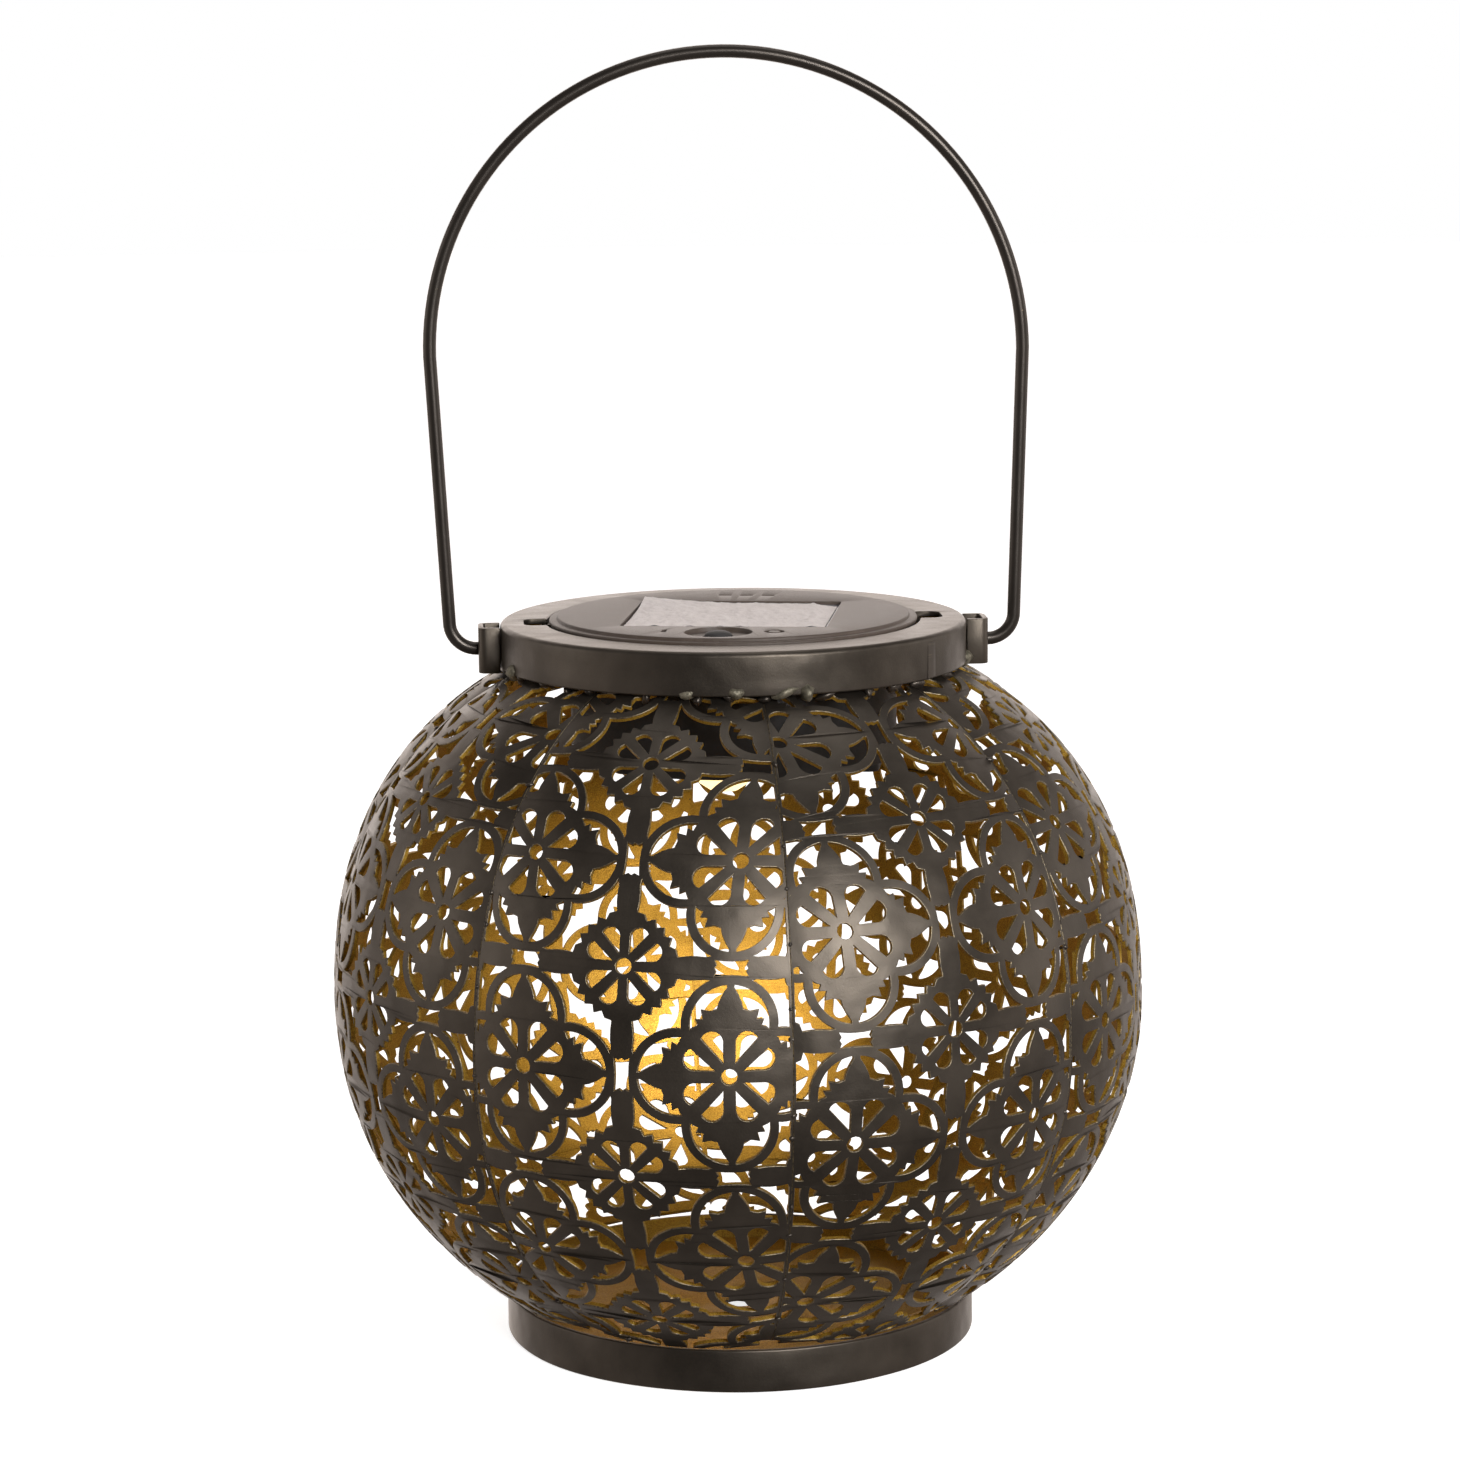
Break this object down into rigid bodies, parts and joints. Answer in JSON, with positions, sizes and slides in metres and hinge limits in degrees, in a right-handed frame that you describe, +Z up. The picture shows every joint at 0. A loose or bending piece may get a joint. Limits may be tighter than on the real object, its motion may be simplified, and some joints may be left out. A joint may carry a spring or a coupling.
{
  "type": "hanging lantern",
  "caption": "Round pierced-metal hanging lantern on a base ring, with a wire bail handle and a twist-out solar lamp unit in its collar.",
  "frame": {"origin": "middle of the base ring's lower edge, on the surface that the lantern stands on", "axes": "+Z up along the globe's axis, X along the handle's pivots, -Y towards the viewer"},
  "size_m": [0.1544, 0.1544, 0.2448],
  "materials": {
    "bronze_metal": "dark bronze satin outside, brushed gold inside and on cut edges",
    "handle_wire": "dark bronze satin",
    "lid_plastic": "satin grey-brown moulding",
    "housing_plastic": "fine moulded texture",
    "gasket_rubber": "matt",
    "cell_silicon": "glossy",
    "cell_film": "wrinkled silvery protective film",
    "board_laminate": "solder mask",
    "battery_wrap": "glossy sleeve",
    "contact_nickel": "nickel plated",
    "led_resin": "clear amber resin",
    "lens_frosted": "frosted",
    "screw_steel": "zinc plated"
  },
  "bodies": {
    "globe": {"globe_panel_1": "bronze_metal", "globe_panel_2": "bronze_metal", "globe_panel_3": "bronze_metal", "globe_panel_4": "bronze_metal", "globe_panel_5": "bronze_metal", "globe_panel_6": "bronze_metal", "globe_panel_7": "bronze_metal", "globe_panel_8": "bronze_metal", "base_ring": "bronze_metal", "base_plate": "bronze_metal", "collar_ring": "bronze_metal", "lug_left": "bronze_metal", "lug_right": "bronze_metal"},
    "handle": {"handle_bail": "handle_wire"},
    "gasket": {"lid_gasket": "gasket_rubber"},
    "lamp_unit": {"module_housing": "housing_plastic", "lid_cover": "lid_plastic", "solar_cell": "cell_silicon", "solar_film": "cell_film", "switch_body": "housing_plastic", "circuit_board": "board_laminate", "battery_cell": "battery_wrap", "plate_contact": "contact_nickel", "spring_contact": "contact_nickel", "led": "led_resin", "led_lens": "lens_frosted", "battery_cover": "housing_plastic", "cover_screw_1": "screw_steel", "cover_screw_2": "screw_steel"},
    "button": {"switch_button": "lid_plastic"}
  },
  "joints": [
    {"name": "handle_swing", "type": "hinge", "parent": "globe", "child": "handle", "pos_m": [0, 0, 0.13281], "axis": [1, 0, 0], "range_deg": [-115, 115]},
    {"name": "lid_lift", "type": "slide", "parent": "globe", "child": "gasket", "axis": [0, 0, 1], "range_m": [0, 0.06]},
    {"name": "lid_turn", "type": "hinge", "parent": "gasket", "child": "lamp_unit", "pos_m": [0, 0, 0.13], "axis": [0, 0, 1], "range_deg": [-35, 0]},
    {"name": "button_press", "type": "slide", "parent": "lamp_unit", "child": "button", "axis": [0, 0, -1], "range_m": [0, 0.001], "stiffness_N_per_m": 400}
  ]
}
